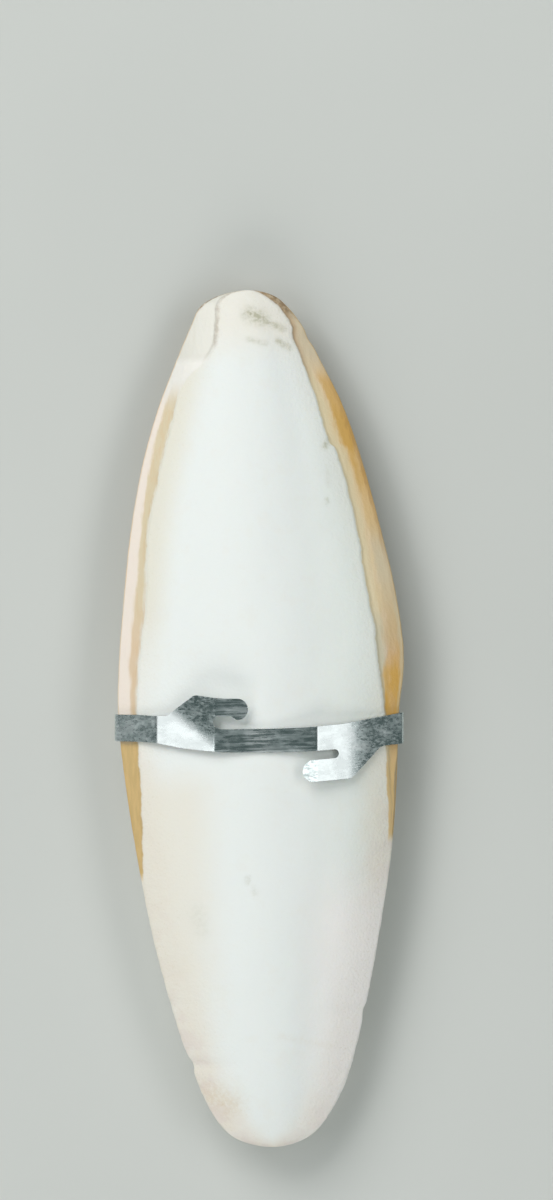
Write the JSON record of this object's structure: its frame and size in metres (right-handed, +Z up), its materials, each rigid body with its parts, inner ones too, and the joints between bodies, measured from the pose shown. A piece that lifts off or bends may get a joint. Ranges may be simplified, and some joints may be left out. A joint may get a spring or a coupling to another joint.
{
  "type": "cuttlebone",
  "caption": "Long oval white cuttlebone lying on its chalky belly, with a stamped metal holder strip folded across its back that hooks on a cage wire.",
  "frame": {"origin": "middle of the footprint's bounding box, on the surface that the belly rests on", "axes": "+Y along the bone towards its narrower rear end, +X across the bone, +Z up out of the hard back"},
  "size_m": [0.072, 0.212, 0.028],
  "materials": {
    "cuttlebone": "matte chalky white, with a satin amber horny margin",
    "holder_clip": "bright tinned sheet, lightly streaked"
  },
  "bodies": {
    "root": {"cuttlebone": "cuttlebone", "holder_clip": "holder_clip"}
  },
  "joints": []
}
